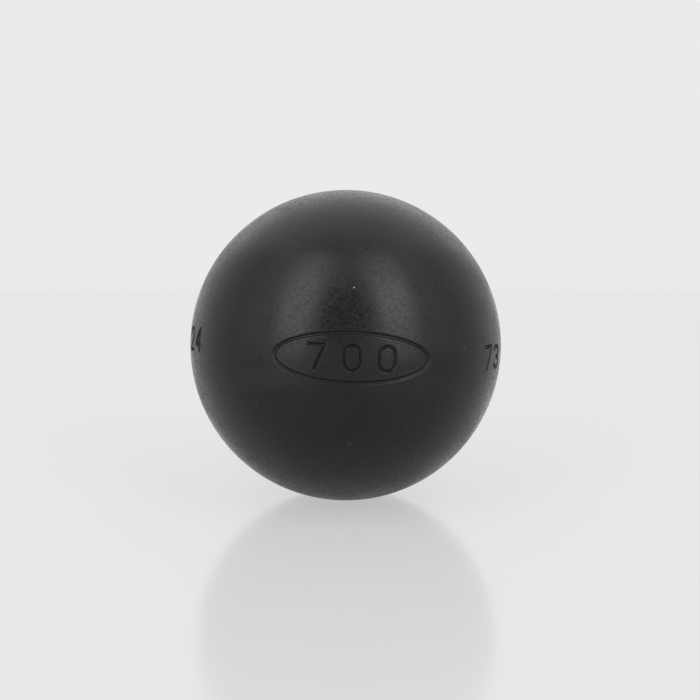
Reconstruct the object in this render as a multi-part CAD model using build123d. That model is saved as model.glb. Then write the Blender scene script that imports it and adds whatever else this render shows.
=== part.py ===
from build123d import *

import os
from math import cos, radians, sin, sqrt

# A steel boule for petanque. Two pressed half-shells with bevelled rims meet at a vertical
# joint plane and are held together by one full-penetration weld, turned flush with the ball.
# The origin is the ball's centre, +Z is up, and the half-shells share the Y axis: the front
# half, which carries the stamped oval, looks along -Y.

# Ball, in millimetres. This wall gives a weight of 700 g in steel.
ball_diameter = 73.0
wall = 6.34

# Weld joint between the two rims
root_gap = 1.2  # opening between the rims before they are welded
root_face = 1.5  # square edge left on each rim, at the bottom of the groove
bevel_angle = 30.0  # slope of each rim from the joint plane, in degrees
root_bead_width = 4.0  # weld metal that came through to the inside
root_bead_height = 0.8

# Stamped oval on the front half-shell
oval_length = 34.6
oval_height = 11.9
oval_groove = 1.1
oval_depth = 0.35
oval_rise = 6.4  # degrees above the front half's axis
oval_swing = 2.3  # degrees to the right of it, seen from the front
oval_roll = 2.2  # degrees that its right end is lower than its left

ball_radius = ball_diameter / 2
hollow_radius = ball_radius - wall


def on_sphere(radius, along):
    """Meridian point, as (radius from the Y axis, place along it), on a sphere round the origin."""
    return Vector(sqrt(radius**2 - along**2), along)


def sphere_arc(start, end):
    """Arc round the origin between two meridian points."""
    middle = (start + end).normalized() * start.length
    return ThreePointArc(start, middle, end)


def rim_corners():
    """Inner corner, groove corner and outer corner of a rim, on the side where Y is positive."""
    inner = on_sphere(hollow_radius, root_gap / 2)
    groove = inner + Vector(root_face, 0)
    slope = Vector(cos(radians(bevel_angle)), sin(radians(bevel_angle)))
    nearest = groove.dot(slope)
    reach = sqrt(nearest**2 + ball_radius**2 - groove.length**2) - nearest
    return inner, groove, groove + slope * reach


def across_joint(point):
    """The same point on the other side of the joint plane."""
    return Vector(point.X, -point.Y)


def make_half_shell():
    """Hollow hemisphere with its bevelled rim at the joint plane, on the side where Y is positive."""
    inner, groove, outer = rim_corners()
    inner_pole = Vector(0, hollow_radius)
    outer_pole = Vector(0, ball_radius)
    outline = [
        sphere_arc(inner_pole, inner),
        Line(inner, groove),
        Line(groove, outer),
        sphere_arc(outer, outer_pole),
        Line(outer_pole, inner_pole),
    ]
    return revolve(make_face(outline), Axis.Y)


def make_weld_seam():
    """Ring of weld metal: the filled groove, flush outside, and the bead inside the hollow."""
    inner, groove, outer = rim_corners()
    toe = on_sphere(hollow_radius, root_bead_width / 2)
    bead_crown = Vector(hollow_radius - root_bead_height, 0)
    far_inner, far_groove, far_outer, far_toe = [across_joint(p) for p in (inner, groove, outer, toe)]
    outline = [
        sphere_arc(outer, far_outer),
        Line(far_outer, far_groove),
        Line(far_groove, far_inner),
        sphere_arc(far_inner, far_toe),
        ThreePointArc(far_toe, bead_crown, toe),
        sphere_arc(toe, inner),
        Line(inner, groove),
        Line(groove, outer),
    ]
    return revolve(make_face(outline), Axis.Y)


def make_oval_cutter():
    """Oval ring that cuts the stamped groove to an even depth under the ball's surface."""
    oval_place = Plane.XZ * Rotation(-oval_rise, oval_swing, -oval_roll)
    ring = Ellipse(oval_length / 2, oval_height / 2)
    ring -= Ellipse(oval_length / 2 - oval_groove, oval_height / 2 - oval_groove)
    punch = extrude(oval_place * ring, ball_diameter)
    return punch - Sphere(ball_radius - oval_depth)


rear_half_shell = make_half_shell()
front_half_shell = mirror(make_half_shell(), Plane.XZ) - make_oval_cutter()
weld_seam = make_weld_seam()

os.makedirs("parts", exist_ok=True)
export_step(front_half_shell, "parts/front_half_shell.step")
export_step(rear_half_shell, "parts/rear_half_shell.step")
export_step(weld_seam, "parts/weld_seam.step")
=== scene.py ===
import math

import bmesh
import bpy
from mathutils import Matrix, Quaternion, Vector


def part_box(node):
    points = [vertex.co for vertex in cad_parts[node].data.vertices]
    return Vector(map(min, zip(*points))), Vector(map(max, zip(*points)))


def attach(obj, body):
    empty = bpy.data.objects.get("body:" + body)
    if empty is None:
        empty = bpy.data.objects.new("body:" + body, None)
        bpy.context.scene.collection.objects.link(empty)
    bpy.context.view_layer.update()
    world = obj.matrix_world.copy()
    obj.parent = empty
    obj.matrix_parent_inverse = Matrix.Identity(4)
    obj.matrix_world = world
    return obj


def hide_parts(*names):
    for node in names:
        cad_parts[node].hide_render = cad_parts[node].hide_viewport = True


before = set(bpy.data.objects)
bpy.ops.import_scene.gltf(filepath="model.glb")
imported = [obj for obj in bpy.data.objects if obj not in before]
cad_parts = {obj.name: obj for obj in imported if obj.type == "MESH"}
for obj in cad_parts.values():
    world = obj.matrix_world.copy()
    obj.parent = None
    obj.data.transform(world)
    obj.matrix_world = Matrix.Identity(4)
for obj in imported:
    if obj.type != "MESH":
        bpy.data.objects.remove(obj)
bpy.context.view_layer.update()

# A petanque boule: two half-shells of steel under a satin black coat, and the weld that joins them.
# Metres, +Z up, the ball's centre at the origin and the stamped half towards -Y.

mm = 0.001
front = Vector((0, -1, 0))

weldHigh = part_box("weld_seam")[1]
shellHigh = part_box("front_half_shell")[1]
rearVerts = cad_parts["rear_half_shell"].data.vertices

ball = {
    "radius": weldHigh.x,
    "hollow": min(vert.co.length for vert in rearVerts),
    "seamHalf": weldHigh.y,  # half the weld's width at the surface
    "gapHalf": -shellHigh.y,  # half the opening between the two rims
    "rootFace": 1.5 * mm,  # square edge at the bottom of each rim
    "flushBand": 0.06 * mm,  # narrow last row of faces, so that shell and weld shade as one surface
}
print("ball radius", round(ball["radius"] / mm, 2), "mm, hollow", round(ball["hollow"] / mm, 2), "mm")


# Shader sockets as Python values

class Wire:
    def __init__(self, tree, socket=None):
        self.tree = tree
        self.socket = socket

    def add(self, kind, settings, inputs, output=0):
        node = self.tree.nodes.new(kind)
        for name, value in settings.items():
            setattr(node, name, value)
        for name, value in inputs.items():
            plug(node, name, value)
        return Wire(self.tree, node.outputs[output])

    def calc(self, operation, first, second):
        return self.add("ShaderNodeMath", {"operation": operation}, {0: first, 1: second})

    def __add__(self, other):
        return self.calc("ADD", self, other)

    def __radd__(self, other):
        return self.calc("ADD", other, self)

    def __sub__(self, other):
        return self.calc("SUBTRACT", self, other)

    def __rsub__(self, other):
        return self.calc("SUBTRACT", other, self)

    def __mul__(self, other):
        return self.calc("MULTIPLY", self, other)

    def __rmul__(self, other):
        return self.calc("MULTIPLY", other, self)


def plug(node, name, value):
    if isinstance(value, Wire):
        value.tree.links.new(value.socket, node.inputs[name])
    else:
        node.inputs[name].default_value = value


def newMaterial(name):
    material = bpy.data.materials.new(name)
    material.use_nodes = True
    return material, material.node_tree.nodes["Principled BSDF"], Wire(material.node_tree)


# Satin black coat

coat = {
    "dark": (0.0035, 0.0035, 0.0035, 1),
    "light": (0.0068, 0.0068, 0.0066, 1),
    "ior": 1.36,
    "roughness": 0.29,
    "mottle": {"size": 9 * mm, "detail": 3, "gloss": 0.34},  # gloss: how far the roughness swings
    "blotch": {"size": 0.75 * mm, "detail": 2, "gloss": 0.48},
    "grain": {"size": 0.3 * mm, "detail": 2, "gloss": 0.5, "height": 0.02 * mm},
    "orangePeel": {"size": 0.8 * mm, "detail": 1, "height": 0.01 * mm},
    "recessGloss": 0.10,  # added roughness at the bottom of a stamp
    "bareSteel": (0.42, 0.42, 0.41, 1),
    "chipCore": 0.5,  # share of a chip's radius inside its soft edge
}
weldCoat = {
    "gloss": -0.03,  # the turned band takes the coat a little smoother
    "lines": {"size": 0.28 * mm, "detail": 1, "height": 0.004 * mm},
    "lineStretch": 90,
}
noiseMiddle = 0.5  # a noise texture swings about this
# Places where the coat is chipped: degrees to the right and up from the front, radius, and how bare
flecks = [
    {"swing": 3.5, "rise": 30.6, "size": 0.20 * mm, "bare": 0.9},
    {"swing": 1.5, "rise": -25.2, "size": 0.55 * mm, "bare": 0.05},
    {"swing": 46.3, "rise": 6.7, "size": 0.40 * mm, "bare": 0.06},
    {"swing": -33.6, "rise": -33.8, "size": 0.38 * mm, "bare": 0.06},
    {"swing": -33.0, "rise": -11.5, "size": 0.38 * mm, "bare": 0.05},
    {"swing": -15.7, "rise": 26.7, "size": 0.24 * mm, "bare": 0.07},
    {"swing": 104, "rise": 24, "size": 0.30 * mm, "bare": 0.25},
    {"swing": -118, "rise": -9, "size": 0.40 * mm, "bare": 0.08},
    {"swing": 151, "rise": -22, "size": 0.22 * mm, "bare": 0.5},
    {"swing": -166, "rise": 38, "size": 0.45 * mm, "bare": 0.06},
    {"swing": -82, "rise": 52, "size": 0.35 * mm, "bare": 0.08},
]


def facing(swing, rise):
    swing, rise = math.radians(swing), math.radians(rise)
    return Vector((math.sin(swing) * math.cos(rise), -math.cos(swing) * math.cos(rise), math.sin(rise)))


def satinCoat(name, turned):
    material, shader, wire = newMaterial(name)
    place = wire.add("ShaderNodeTexCoord", {}, {}, "Object")

    def noise(layer, where=place):
        inputs = {"Vector": where, "Scale": 1 / layer["size"], "Detail": layer["detail"]}
        return wire.add("ShaderNodeTexNoise", {}, inputs)

    def mixed(share, first, second):
        inputs = {"Factor": share, 6: first, 7: second}  # 6, 7 and 2 are the colour sockets
        return wire.add("ShaderNodeMix", {"data_type": "RGBA"}, inputs, 2)

    mottle = noise(coat["mottle"])
    blotch = noise(coat["blotch"])
    grain = noise(coat["grain"])
    peel = noise(coat["orangePeel"])
    # Depth of a stamp, which sets the painted shade and the added roughness in its recess
    recess = wire.add("ShaderNodeAttribute", {"attribute_name": "stampDepth"}, {}, "Fac")
    bare = 0
    for fleck in flecks:
        middle = facing(fleck["swing"], fleck["rise"]) * ball["radius"]
        ends = {0: place, 1: middle}
        away = wire.add("ShaderNodeVectorMath", {"operation": "DISTANCE"}, ends, "Value")
        ragged = away + (grain - noiseMiddle) * fleck["size"]
        fade = {"From Min": fleck["size"], "From Max": fleck["size"] * coat["chipCore"],
                "To Min": 0, "To Max": fleck["bare"]}
        bare = bare + wire.add("ShaderNodeMapRange", {}, {"Value": ragged, **fade})
    # Inside a stamp the tone is pulled towards the dark colour: painted shade in the recess
    tone = mixed(mottle * (1 - recess), coat["dark"], coat["light"])
    plug(shader, "Base Color", mixed(bare, tone, coat["bareSteel"]))
    gloss = coat["roughness"]
    for pattern, layer in ((mottle, "mottle"), (blotch, "blotch"), (grain, "grain")):
        gloss = gloss + (pattern - noiseMiddle) * coat[layer]["gloss"]
    height = grain * coat["grain"]["height"] + peel * coat["orangePeel"]["height"]
    if turned:
        squeeze = 1 / weldCoat["lineStretch"]
        sides = {0: place, 1: (squeeze, 1, squeeze)}
        around = wire.add("ShaderNodeVectorMath", {"operation": "MULTIPLY"}, sides)
        height = height + noise(weldCoat["lines"], around) * weldCoat["lines"]["height"]
        gloss = gloss + weldCoat["gloss"]
    plug(shader, "Roughness", gloss + recess * coat["recessGloss"])
    plug(shader, "IOR", coat["ior"])
    bump = wire.add("ShaderNodeBump", {}, {"Height": height, "Strength": 1.0, "Distance": 1.0})
    plug(shader, "Normal", bump)
    return material


# Stamped marks: a plain oval with the weight in grams, the diameter and a set number

ovalMark = {
    "swing": 2.3, "rise": 6.4, "roll": 2.45,  # degrees right, up, and right end down
    "length": 34.6 * mm, "height": 11.9 * mm, "groove": 1.1 * mm, "depth": 0.35 * mm,
}
numberMarks = [
    {"figures": "700", "swing": 2.3, "rise": 6.4, "roll": 2.45, "height": 6.3 * mm, "pitch": 7.6 * mm,
     "stroke": 0.9 * mm, "depth": 0.38 * mm},
    {"figures": "73", "swing": 66.3, "rise": 0.1, "roll": 6.7, "height": 6.1 * mm, "pitch": 5.6 * mm,
     "stroke": 1.15 * mm, "depth": 0.55 * mm},
    {"figures": "24", "swing": -71.1, "rise": 5.8, "roll": -6.5, "height": 6.1 * mm, "pitch": 5.6 * mm,
     "stroke": 1.15 * mm, "depth": 0.55 * mm},
]
stamping = {
    "darkDepth": 0.38 * mm,  # a groove this deep gets the full painted shade and the full added roughness of a recess
    "wall": 0.42 * mm,  # width of a groove's slope
    "lipHeight": 0.02 * mm,
    "lipReach": 0.25 * mm,
    "finerNear": [2.6 * mm, 1.5 * mm, 0.9 * mm, 0.45 * mm],  # the mesh is divided this near to an edge
    "clear": 1 * mm,  # past the first of those, a place counts as far from the stamp
}
figureWidth = 0.64  # of the height between stroke middles
bowSteps = 12

# Strokes in a box of width 1 and height 1: a line has two ends, a bow its middle, radii and angles
figureStrokes = {
    "0": [("bow", (0.5, 0.68), 0.5, 0.32, 0, 180), ("bow", (0.5, 0.32), 0.5, 0.32, 180, 360),
          ("line", (0, 0.32), (0, 0.68)), ("line", (1, 0.32), (1, 0.68))],
    "2": [("bow", (0.5, 0.70), 0.5, 0.30, -38, 170), ("line", (0.894, 0.515), (0, 0)),
          ("line", (0, 0), (1, 0))],
    "3": [("bow", (0.46, 0.76), 0.5, 0.24, -90, 155), ("bow", (0.48, 0.26), 0.52, 0.26, -155, 90)],
    "4": [("line", (0.72, 1), (0, 0.3)), ("line", (0, 0.3), (1, 0.3)), ("line", (0.72, 1), (0.72, 0))],
    "7": [("line", (0, 1), (1, 1)), ("line", (1, 1), (0.35, 0))],
}


def markTurn(mark):
    swing, rise, roll = (math.radians(mark[name]) for name in ("swing", "rise", "roll"))
    return (Matrix.Rotation(swing, 3, "Z") @ Matrix.Rotation(-rise, 3, "X")
            @ Matrix.Rotation(roll, 3, "Y"))


def lineDistance(point, start, end):
    along = end - start
    share = (point - start).dot(along) / along.length_squared
    return (point - start - along * min(max(share, 0), 1)).length


def strokeLines(mark):
    bodyHeight = mark["height"] - mark["stroke"]
    bodyWidth = bodyHeight * figureWidth
    count = len(mark["figures"])
    lines = []
    for index, figure in enumerate(mark["figures"]):
        left = (index - (count - 1) / 2) * mark["pitch"] - bodyWidth / 2

        def spot(across, up):
            return Vector((left + across * bodyWidth, (up - 0.5) * bodyHeight))

        for kind, *data in figureStrokes[figure]:
            if kind == "line":
                lines.append((spot(*data[0]), spot(*data[1])))
                continue
            middle, wide, tall, first, last = data
            bow = []
            for step in range(bowSteps + 1):
                turn = math.radians(first + (last - first) * step / bowSteps)
                bow.append(spot(middle[0] + wide * math.cos(turn), middle[1] + tall * math.sin(turn)))
            lines.extend(zip(bow, bow[1:]))
    return lines


def ellipseDistance(point, halfLength, halfHeight):
    near = math.hypot(point.x / halfLength, point.y / halfHeight)
    slope = math.hypot(point.x / halfLength ** 2, point.y / halfHeight ** 2)
    return near * (near - 1) / max(slope, 1e-9)  # the middle has no slope


def ovalEdge(point):
    halfLength, halfHeight, groove = ovalMark["length"] / 2, ovalMark["height"] / 2, ovalMark["groove"]
    outside = ellipseDistance(point, halfLength, halfHeight)
    inside = ellipseDistance(point, halfLength - groove, halfHeight - groove)
    return max(outside, -inside)


def numberEdge(mark):
    lines = strokeLines(mark)

    def edge(point):
        return min(lineDistance(point, *line) for line in lines) - mark["stroke"] / 2
    return edge


stamps = [{"turn": markTurn(ovalMark), "edge": ovalEdge, "depth": ovalMark["depth"],
           "reach": (ovalMark["length"] / 2, ovalMark["height"] / 2)}]
for mark in numberMarks:
    stamps.append({"turn": markTurn(mark), "edge": numberEdge(mark), "depth": mark["depth"],
                   "reach": (mark["pitch"] * len(mark["figures"]) / 2, mark["height"] / 2)})


def edgeDistance(stamp, place):
    near = stamp["turn"].transposed() @ place
    margin = stamping["finerNear"][0] + stamping["clear"]
    halfLength, halfHeight = (reach + margin for reach in stamp["reach"])
    if near.y > 0 or abs(near.x) > halfLength or abs(near.z) > halfHeight:
        return margin
    return stamp["edge"](Vector((near.x, near.z)))


def pressed(edge, depth):
    share = min(max(-edge / stamping["wall"], 0), 1)
    lip = stamping["lipHeight"] * math.exp(-((edge - stamping["lipReach"]) / stamping["lipReach"]) ** 2)
    return depth * share * share * (3 - 2 * share) - lip * (edge > 0)  # a slope with round ends


# Half-shells

shell = {
    "cells": 48,  # along each side of the square patch round the pole
    "rings": 19,  # from that patch to the rim
    "hollowRings": 10,
    "mergeReach": 0.005 * mm,
}


def grooveRadius():
    return math.sqrt(ball["hollow"] ** 2 - ball["gapHalf"] ** 2) + ball["rootFace"]


def meridian(place, polar, radius):
    sideways = Vector((place.x, 0, place.z)).normalized()
    return (sideways * math.sin(polar) + front * math.cos(polar)) * radius


def grownRim(shape, rim, moved):
    made = bmesh.ops.extrude_edge_only(shape, edges=rim)["geom"]
    verts = {item for item in made if isinstance(item, bmesh.types.BMVert)}
    for vert in verts:
        vert.co = moved(vert.co)
    return [item for item in made if isinstance(item, bmesh.types.BMEdge) and set(item.verts) <= verts]


def addDome(shape, radius, rimAngle, cells, rings):
    grid = bmesh.ops.create_grid(shape, x_segments=cells, y_segments=cells, size=1)["verts"]
    for vert in grid:
        across, up = (math.tan(side * math.pi / 4) for side in vert.co.xy)  # cells of equal angle
        vert.co = Vector((across, -1, up)).normalized() * radius
    rim = list({edge for vert in grid for edge in vert.link_edges if edge.is_boundary})
    for ring in range(rings):
        def nextRing(place):
            polar = place.angle(front)
            return meridian(place, polar + (rimAngle - polar) / (rings - ring), radius)
        rim = grownRim(shape, rim, nextRing)
    return rim


def pressStamps(shape, radius, depthLayer):
    for near in stamping["finerNear"]:
        close = [face for face in shape.faces
                 if min(abs(edgeDistance(stamp, face.calc_center_median())) for stamp in stamps) < near]
        edges = list({edge for face in close for edge in face.edges})
        bmesh.ops.subdivide_edges(shape, edges=edges, cuts=1, use_grid_fill=True)
        for vert in shape.verts:
            vert.co = vert.co.normalized() * radius
    for vert in shape.verts:
        depths = [pressed(edgeDistance(stamp, vert.co), stamp["depth"]) for stamp in stamps]
        # Share of the full depth, which sets the painted shade and the added roughness of the recess
        vert[depthLayer] = min(max(max(depths) / stamping["darkDepth"], 0), 1)
        vert.co = vert.co.normalized() * (radius - sum(depths))
    manySided = [face for face in shape.faces if len(face.verts) > 4]
    bmesh.ops.triangulate(shape, faces=manySided, quad_method="BEAUTY", ngon_method="BEAUTY")


def makeShell(stamped):
    radius, hollow = ball["radius"], ball["hollow"]
    shape = bmesh.new()
    depthLayer = shape.verts.layers.float.new("stampDepth")
    rimAngle = math.acos(ball["seamHalf"] / radius)
    rim = addDome(shape, radius, rimAngle - ball["flushBand"] / radius, shell["cells"], shell["rings"])
    grownRim(shape, rim, lambda place: meridian(place, rimAngle, radius))
    if stamped:
        pressStamps(shape, radius, depthLayer)
    rim = [edge for edge in shape.edges if edge.is_boundary]

    def toRoot(place):
        sideways = Vector((place.x, 0, place.z)).normalized()
        return sideways * grooveRadius() + front * ball["gapHalf"]

    root = grownRim(shape, rim, toRoot)
    hollowAngle = math.acos(ball["gapHalf"] / hollow)
    lip = grownRim(shape, root, lambda place: meridian(place, hollowAngle, hollow))
    hollowRim = addDome(shape, hollow, hollowAngle, shell["cells"], shell["hollowRings"])
    for edge in rim + root + lip + hollowRim:
        edge.smooth = False
    meeting = list({vert for edge in lip + hollowRim for vert in edge.verts})
    bmesh.ops.remove_doubles(shape, verts=meeting, dist=shell["mergeReach"])
    bmesh.ops.recalc_face_normals(shape, faces=shape.faces[:])
    return shape


# Weld

weld = {
    "beadWidth": 4.0 * mm,  # inside the hollow
    "beadHeight": 0.8 * mm,
    "outerSteps": 8,
    "toeSteps": 2,
    "beadSteps": 6,
    "turns": 4 * shell["cells"],  # as many as the shells' rims have
    "sharpAngle": 15,
}


def makeWeld():
    radius, hollow = ball["radius"], ball["hollow"]
    gap, seam, toe = ball["gapHalf"], ball["seamHalf"], weld["beadWidth"] / 2
    crown = hollow - weld["beadHeight"]
    toeEdge = math.sqrt(hollow ** 2 - toe ** 2)
    beadRadius = ((toeEdge - crown) ** 2 + toe ** 2) / (2 * (toeEdge - crown))
    shape = bmesh.new()

    def arc(middle, arcRadius, first, last, steps):
        turns = [first + (last - first) * step / steps for step in range(steps + 1)]
        return [(middle + arcRadius * math.cos(turn), arcRadius * math.sin(turn)) for turn in turns]

    def angle(across, arcRadius):
        return math.asin(across / arcRadius)

    edgeTurn = angle(seam, radius)
    bandTurn = edgeTurn - ball["flushBand"] / radius
    face = arc(0, radius, -edgeTurn, edgeTurn, 1)
    outline = face[:1] + arc(0, radius, -bandTurn, bandTurn, weld["outerSteps"]) + face[1:]
    outline += [(grooveRadius(), gap)]
    outline += arc(0, hollow, angle(gap, hollow), angle(toe, hollow), weld["toeSteps"])
    beadTurn = angle(toe, beadRadius)
    beadEnds = math.pi - beadTurn, math.pi + beadTurn
    outline += arc(crown + beadRadius, beadRadius, *beadEnds, weld["beadSteps"])[1:-1]
    outline += arc(0, hollow, -angle(toe, hollow), -angle(gap, hollow), weld["toeSteps"])
    outline += [(grooveRadius(), -gap)]
    verts = [shape.verts.new((across, along, 0)) for across, along in outline]
    edges = [shape.edges.new(pair) for pair in zip(verts, verts[1:] + verts[:1])]
    bmesh.ops.spin(shape, geom=verts + edges, cent=(0, 0, 0), axis=(0, 1, 0), angle=2 * math.pi,
                   steps=weld["turns"], use_merge=True)
    bmesh.ops.recalc_face_normals(shape, faces=shape.faces[:])
    for edge in shape.edges:
        edge.smooth = edge.calc_face_angle(0) < math.radians(weld["sharpAngle"])
    return shape


def addPiece(name, shape, material, nodeName):
    for face in shape.faces:
        face.smooth = True
    mesh = bpy.data.meshes.new(name)
    shape.to_mesh(mesh)
    shape.free()
    mesh.materials.append(material)
    piece = bpy.data.objects.new(name, mesh)
    bpy.context.scene.collection.objects.link(piece)
    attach(piece, "root")
    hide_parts(nodeName)
    print(name, len(mesh.polygons), "faces")
    return piece


blackCoat = satinCoat("satinBlackCoat", False)
pieces = [addPiece("frontShell", makeShell(True), blackCoat, "front_half_shell")]
rearShape = makeShell(False)
halfTurn = Matrix.Rotation(math.pi, 3, "Z")
bmesh.ops.rotate(rearShape, cent=(0, 0, 0), matrix=halfTurn, verts=rearShape.verts[:])
pieces.append(addPiece("rearShell", rearShape, blackCoat, "rear_half_shell"))
weldFinish = satinCoat("turnedWeldCoat", True)
pieces.append(addPiece("weldBand", makeWeld(), weldFinish, "weld_seam"))


# Floor, light and camera

studio = {
    "floorColour": (0.72, 0.72, 0.72, 1),
    "floorRoughness": 0.15,
    "floorIor": 1.5,
    "floorGlow": 0.815,  # pale light given off to the camera and to gloss
    "floorGlowShare": {"Is Camera Ray": 0.76, "Is Glossy Ray": 0.36, "Is Transmission Ray": 0.36},
    "floorWidth": 2.1,
    "floorFront": 1.0,
    "floorBack": 0.323,
    "background": 0.83,
    "ambient": 0.42,
    "cardColour": (0.75, 0.75, 0.75, 1),
    "cardWidth": 0.76,
    "cardHeight": 1.6,
    "cardFoot": 0.22,  # above the ball's centre
    "cardBack": 0.95,  # towards the camera
}
# Each lamp is set up twice, for the ball and for the floor, so that the floor doesn't mirror it.
# Angles are in degrees from the front, distances and sizes in metres, power in watts.
softboxes = {
    "leftKey": {"swing": -41.5, "rise": 38, "away": 1.2, "size": (0.54, 1.95), "power": 2.62,
                "roll": 4, "spread": 100},
    "rightKey": {"swing": 43, "rise": 36.5, "away": 1.2, "size": (0.53, 1.8), "power": 2.5,
                 "roll": -6, "spread": 100},
    "leftFill": {"swing": -50, "rise": 34, "away": 1.2, "size": (1.45, 1.75), "power": 2.95,
                 "roll": 0, "spread": 180},
    "rightFill": {"swing": 49, "rise": 34, "away": 1.2, "size": (1.45, 1.75), "power": 2.95,
                  "roll": 0, "spread": 180},
    "backTop": {"swing": 180, "rise": 52, "away": 1.0, "size": (1.6, 1.4), "power": 2.75,
                "roll": 0, "spread": 180},
}
# Pale cards that lie on the floor and throw a little light up at the ball
bounceCards = {
    "leftBounce": {"swing": -43, "away": 0.31, "size": (0.12, 0.38), "power": 0.072, "spread": 180},
    "rightBounce": {"swing": 38, "away": 0.22, "size": (0.11, 0.24), "power": 0.018, "spread": 180},
    "rearBounce": {"swing": 145, "away": 0.11, "size": (0.10, 0.14), "power": 0.009, "spread": 180},
}
bounceHeight = 2 * mm  # above the floor


def addSheet(name, width, depth, turn, middle, colour):
    shape = bmesh.new()
    bmesh.ops.create_grid(shape, x_segments=1, y_segments=1, size=0.5)
    bmesh.ops.scale(shape, vec=(width, depth, 1), verts=shape.verts[:])
    bmesh.ops.rotate(shape, cent=(0, 0, 0), matrix=Matrix.Rotation(turn, 3, "X"), verts=shape.verts[:])
    bmesh.ops.translate(shape, vec=middle, verts=shape.verts[:])
    mesh = bpy.data.meshes.new(name)
    shape.to_mesh(mesh)
    shape.free()
    material, shader, wire = newMaterial(name)
    plug(shader, "Base Color", colour)
    plug(shader, "Roughness", 1)
    mesh.materials.append(material)
    sheet = bpy.data.objects.new(name, mesh)
    bpy.context.scene.collection.objects.link(sheet)
    return sheet, shader, wire


def seenShare(wire, shares):
    path = wire.add("ShaderNodeLightPath", {}, {}, "Is Camera Ray")
    seen = 0
    for name, share in shares.items():
        seen = path.calc("MAXIMUM", seen, Wire(wire.tree, path.socket.node.outputs[name]) * share)
    return seen


def makeFloor():
    depth = studio["floorFront"] + studio["floorBack"]
    middle = (0, (studio["floorBack"] - studio["floorFront"]) / 2, -ball["radius"])
    width, colour = studio["floorWidth"], studio["floorColour"]
    floor, shader, wire = addSheet("paleFloor", width, depth, 0, middle, colour)
    plug(shader, "Specular IOR Level", 0)  # the polish below takes its place
    lit = Wire(wire.tree, shader.outputs[0])
    glow = wire.add("ShaderNodeEmission", {}, {"Strength": studio["floorGlow"]})
    seen = seenShare(wire, studio["floorGlowShare"])
    pale = wire.add("ShaderNodeMixShader", {}, {0: seen, 1: lit, 2: glow})
    shine = {"Color": (1, 1, 1, 1), "Roughness": studio["floorRoughness"]}
    gloss = wire.add("ShaderNodeBsdfAnisotropic", {}, shine)
    grazing = wire.add("ShaderNodeFresnel", {}, {"IOR": studio["floorIor"]})
    polished = wire.add("ShaderNodeMixShader", {}, {0: grazing, 1: pale, 2: gloss})
    plug(wire.tree.nodes["Material Output"], "Surface", polished)
    return floor


def makePaleCard():
    middle = (0, -studio["cardBack"], studio["cardFoot"] + studio["cardHeight"] / 2)
    width, height, colour = studio["cardWidth"], studio["cardHeight"], studio["cardColour"]
    card = addSheet("paleCard", width, height, math.pi / 2, middle, colour)[0]
    card.visible_camera = False  # it shows in gloss alone


def gathered(name, members):
    group = bpy.data.collections.new(name)
    for member in members:
        group.objects.link(member)
    return group


def addLamp(name, box, receivers):
    light = bpy.data.lights.new(name, "AREA")
    light.shape = "RECTANGLE"
    light.size, light.size_y = box["size"]
    light.energy = box["power"]
    light.spread = math.radians(box["spread"])
    lamp = bpy.data.objects.new(name, light)
    lamp.visible_camera = False
    lamp.light_linking.receiver_collection = receivers
    bpy.context.scene.collection.objects.link(lamp)
    return lamp


def addSoftbox(name, box, receivers, mirrored):
    lamp = addLamp(name, box, receivers)
    towards = facing(box["swing"], box["rise"])
    lamp.location = towards * box["away"]
    roll = Quaternion((0, 0, 1), math.radians(box["roll"]))
    lamp.rotation_euler = ((-towards).to_track_quat("-Z", "Y") @ roll).to_euler()
    lamp.visible_glossy = mirrored


def addBounce(name, box, receivers):
    lamp = addLamp(name, box, receivers)
    level = Vector((0, 0, bounceHeight - ball["radius"]))
    lamp.location = facing(box["swing"], 0) * box["away"] + level
    lamp.rotation_euler = (math.pi, 0, math.radians(box["swing"]))  # face up


def makeWorld():
    world = bpy.data.worlds.new("studio")
    world.use_nodes = True
    wire = Wire(world.node_tree)
    seen = seenShare(wire, {"Is Camera Ray": 1, "Is Glossy Ray": 1, "Is Transmission Ray": 1})
    strength = studio["ambient"] + seen * (studio["background"] - studio["ambient"])
    backdrop = world.node_tree.nodes["Background"]
    plug(backdrop, "Color", (1, 1, 1, 1))
    plug(backdrop, "Strength", strength)
    bpy.context.scene.world = world


view = {
    "elevation": 11.0,
    "distance": 365 * mm,
    "lens": 79.45,
    "sensor": 36,
    "nearest": 10 * mm,
    "offCentre": (1.015 * mm, 1.14 * mm),  # the ball stands this far left of and above the middle
}


def makeCamera():
    data = bpy.data.cameras.new("camera")
    data.lens = view["lens"]
    data.sensor_width = view["sensor"]
    data.clip_start = view["nearest"]
    camera = bpy.data.objects.new("camera", data)
    tilt = math.radians(view["elevation"])
    back = Vector((0, -math.cos(tilt), math.sin(tilt)))
    down = Vector((0, -math.sin(tilt), -math.cos(tilt)))
    camera.rotation_euler = (-back).to_track_quat("-Z", "Y").to_euler()
    left, above = view["offCentre"]
    camera.location = back * view["distance"] + Vector((1, 0, 0)) * left + down * above
    bpy.context.scene.collection.objects.link(camera)
    bpy.context.scene.camera = camera


floor = makeFloor()
makePaleCard()
ballPieces = gathered("ballPieces", pieces)
floorOnly = gathered("floorOnly", [floor])
for name, box in softboxes.items():
    addSoftbox(name + "OnBall", box, ballPieces, True)
    addSoftbox(name + "OnFloor", box, floorOnly, False)
for name, box in bounceCards.items():
    addBounce(name, box, ballPieces)
makeWorld()
makeCamera()
bpy.context.scene.view_settings.view_transform = "Standard"
print("floor, lamps, world and camera are in place")
